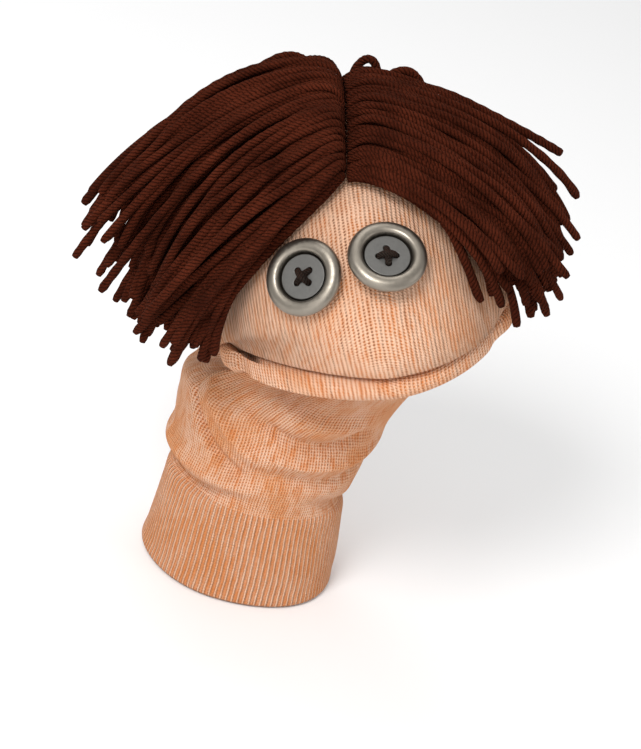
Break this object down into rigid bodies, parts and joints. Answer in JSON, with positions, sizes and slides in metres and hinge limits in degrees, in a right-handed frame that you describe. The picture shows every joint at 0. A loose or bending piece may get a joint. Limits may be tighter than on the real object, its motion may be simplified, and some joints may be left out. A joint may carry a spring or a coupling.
{
  "type": "sock puppet",
  "caption": "Hand-worn sock puppet with a hinged mouth, metal button eyes and a parted yarn wig.",
  "frame": {"origin": "centre of the cuff's opening", "axes": "+Z along the leg of the sock towards the head, -Y the way the puppet faces, +X the puppet's left"},
  "size_m": [0.1534, 0.125, 0.1924],
  "materials": {
    "knit": "matte marled stockinette",
    "rib_knit": "matte marled rib",
    "mouth_knit": "matte knit, tucked in",
    "yarn": "matte plied wool",
    "button_rim": "satin nickel",
    "button_plate": "matte pewter",
    "thread": "matte cotton thread"
  },
  "bodies": {
    "leg": {"cuff": "rib_knit", "leg": "knit", "lower_ankle_fold": "knit"},
    "wrist": {"ankle": "knit", "upper_ankle_fold": "knit"},
    "head": {"nape": "knit", "head": "knit", "mouth_roof": "mouth_knit", "parting_tie": "thread", "left_eye_rim": "button_rim", "left_eye_plate": "button_plate", "left_eye_stitch": "thread", "left_eye_knot": "thread", "right_eye_rim": "button_rim", "right_eye_plate": "button_plate", "right_eye_stitch": "thread", "right_eye_knot": "thread"},
    "jaw": {"jaw": "knit", "mouth_floor": "mouth_knit"},
    "left_hair": {"left_hair_under_1": "yarn", "left_hair_under_2": "yarn", "left_hair_under_3": "yarn", "left_hair_under_4": "yarn", "left_hair_under_5": "yarn", "left_hair_over_1": "yarn", "left_hair_over_2": "yarn", "left_hair_over_3": "yarn", "left_hair_over_4": "yarn", "left_hair_over_5": "yarn"},
    "right_hair": {"right_hair_under_1": "yarn", "right_hair_under_2": "yarn", "right_hair_under_3": "yarn", "right_hair_under_4": "yarn", "right_hair_under_5": "yarn", "right_hair_over_1": "yarn", "right_hair_over_2": "yarn", "right_hair_over_3": "yarn", "right_hair_over_4": "yarn", "right_hair_over_5": "yarn"}
  },
  "joints": [
    {"name": "head_lean", "type": "hinge", "parent": "leg", "child": "wrist", "pos_m": [0, 0, 0.0525], "axis": [0, 1, 0], "range_deg": [-18, 18], "deforming": ["lower_ankle_fold"]},
    {"name": "head_nod", "type": "hinge", "parent": "wrist", "child": "head", "pos_m": [0, 0, 0.0705], "axis": [1, 0, 0], "range_deg": [-20, 20], "deforming": ["upper_ankle_fold"]},
    {"name": "mouth_open", "type": "hinge", "parent": "head", "child": "jaw", "pos_m": [0.0126, -0.028, 0.115], "axis": [0.8986, -0.1183, 0.4226], "range_deg": [0, 35]},
    {"name": "left_hair_lift", "type": "hinge", "parent": "head", "child": "left_hair", "pos_m": [-0.0118, -0.0086, 0.189], "axis": [0.0816, 0.982, 0.1704], "range_deg": [0, 22]},
    {"name": "right_hair_lift", "type": "hinge", "parent": "head", "child": "right_hair", "pos_m": [-0.0118, -0.0086, 0.189], "axis": [-0.0816, -0.982, -0.1704], "range_deg": [0, 22]}
  ]
}
